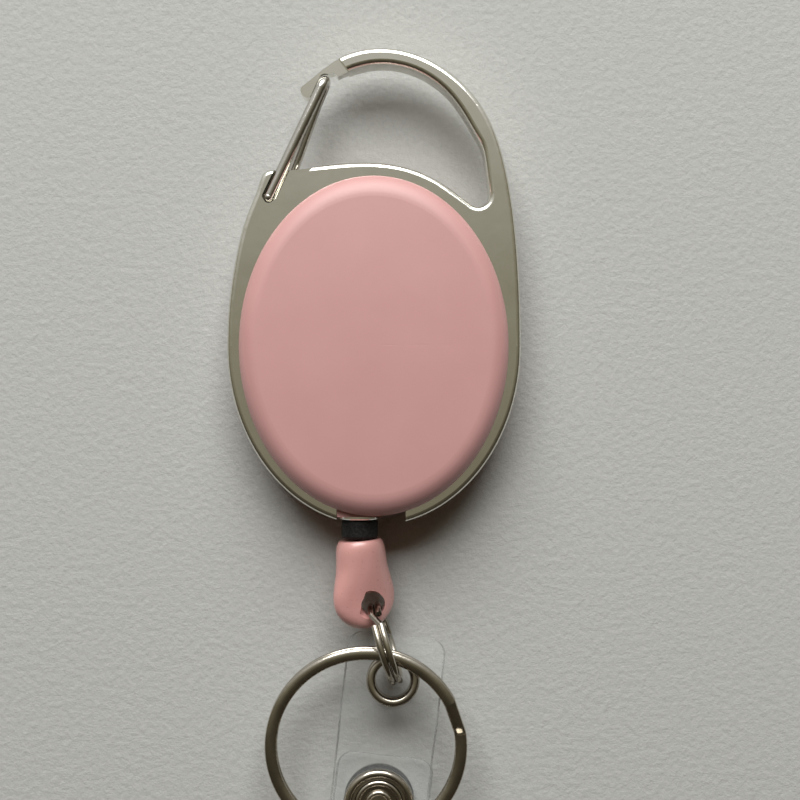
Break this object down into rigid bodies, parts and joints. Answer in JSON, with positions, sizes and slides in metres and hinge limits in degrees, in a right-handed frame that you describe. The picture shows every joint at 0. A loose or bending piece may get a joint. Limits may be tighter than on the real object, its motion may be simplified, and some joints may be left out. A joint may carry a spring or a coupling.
{
  "type": "retractable badge reel",
  "caption": "Oval pull reel on a metal carabiner frame: a sprung cord runs out to an end cap, split rings and a clear snap strap for a badge.",
  "frame": {"origin": "spool axis on the flat back face of the back cover, the face the reel lies on", "axes": "+Z out through the front cover, +Y from the cord outlet to the carabiner hook, +X to the right seen from the front"},
  "size_m": [0.0362, 0.1259, 0.0106],
  "materials": {
    "frame_metal": "polished",
    "gate_wire": "polished",
    "cover_plastic": "fine matte",
    "cap_plastic": "satin",
    "screw_steel": "zinc plated",
    "washer_nylon": "natural nylon",
    "spool_plastic": "moulded",
    "spring_steel": "blued strip",
    "cord_nylon": "braided",
    "outlet_metal": "polished",
    "stopper_rubber": "matte",
    "ring_nickel": "nickel plated",
    "strap_vinyl": "clear",
    "snap_nickel": "nickel plated"
  },
  "bodies": {
    "casing": {"carabiner_frame": "frame_metal", "front_cover": "cover_plastic", "back_cover": "cover_plastic", "cover_screws": "screw_steel", "axle_post": "screw_steel", "axle_screw": "screw_steel", "thrust_washers": "washer_nylon", "outlet_eyelet": "outlet_metal", "power_spring": "spring_steel"},
    "gate": {"wire_gate": "gate_wire"},
    "spool": {"spool": "spool_plastic", "spool_cover": "spool_plastic", "wound_cord": "cord_nylon"},
    "pull_end": {"cord_stopper": "stopper_rubber", "cord_knot": "cord_nylon", "cord_lead": "cord_nylon"},
    "end_cap": {"end_cap": "cap_plastic"},
    "jump_ring": {"jump_ring": "ring_nickel"},
    "key_ring": {"key_ring": "ring_nickel"},
    "strap": {"strap_front": "strap_vinyl", "strap_fold": "strap_vinyl", "strap_eyelet": "snap_nickel", "eyelet_washer": "snap_nickel", "snap_socket": "snap_nickel", "snap_front_ring": "snap_nickel"},
    "strap_flap": {"strap_back": "strap_vinyl", "snap_cap": "snap_nickel", "snap_stud": "snap_nickel"}
  },
  "joints": [
    {"name": "gate_hinge", "type": "hinge", "parent": "casing", "child": "gate", "pos_m": [-0.013, 0.0184, 0.0049], "axis": [0, 0, -1], "range_deg": [0, 22], "stiffness_Nm_per_rad": 0.004, "springref_deg": -28.65},
    {"name": "cord_pull", "type": "slide", "parent": "casing", "child": "pull_end", "axis": [0, -1, 0], "range_m": [0, 0.6], "stiffness_N_per_m": 1.2, "springref_m": -0.45, "deforming": ["cord_lead"]},
    {"name": "spool_spin", "type": "hinge", "parent": "casing", "child": "spool", "pos_m": [0, 0, 0.0017], "axis": [0, 0, -1], "range_deg": [0, 2840], "deforming": ["power_spring"]},
    {"name": "end_cap_swivel", "type": "hinge", "parent": "pull_end", "child": "end_cap", "pos_m": [-0.0018, -0.02395, 0.0049], "axis": [0.0785, -0.9969, 0], "range_deg": [-180, 180]},
    {"name": "jump_ring_swing", "type": "hinge", "parent": "end_cap", "child": "jump_ring", "pos_m": [-0.0002, -0.03185, 0.00429], "axis": [0.0522, 0.0041, 0.9986], "range_deg": [-12, 12]},
    {"name": "key_ring_flip", "type": "hinge", "parent": "jump_ring", "child": "key_ring", "pos_m": [0.0018, -0.03803, 0.00657], "axis": [-0.9711, 0.2378, 0.0191], "range_deg": [0, 110]},
    {"name": "strap_swing", "type": "hinge", "parent": "jump_ring", "child": "strap", "pos_m": [0.00233, -0.0414, 0.0045], "axis": [0.0101, 0.09, 0.9959], "range_deg": [-8, 12]},
    {"name": "strap_unfold", "type": "hinge", "parent": "strap", "child": "strap_flap", "pos_m": [-0.0028, -0.08711, 0.00145], "axis": [-0.9938, 0.1115, 0], "range_deg": [0, 120], "deforming": ["strap_fold"]}
  ],
  "couplings": [
    {"joint": "spool_spin", "follows": "cord_pull", "rad_per_m": 81.944}
  ]
}
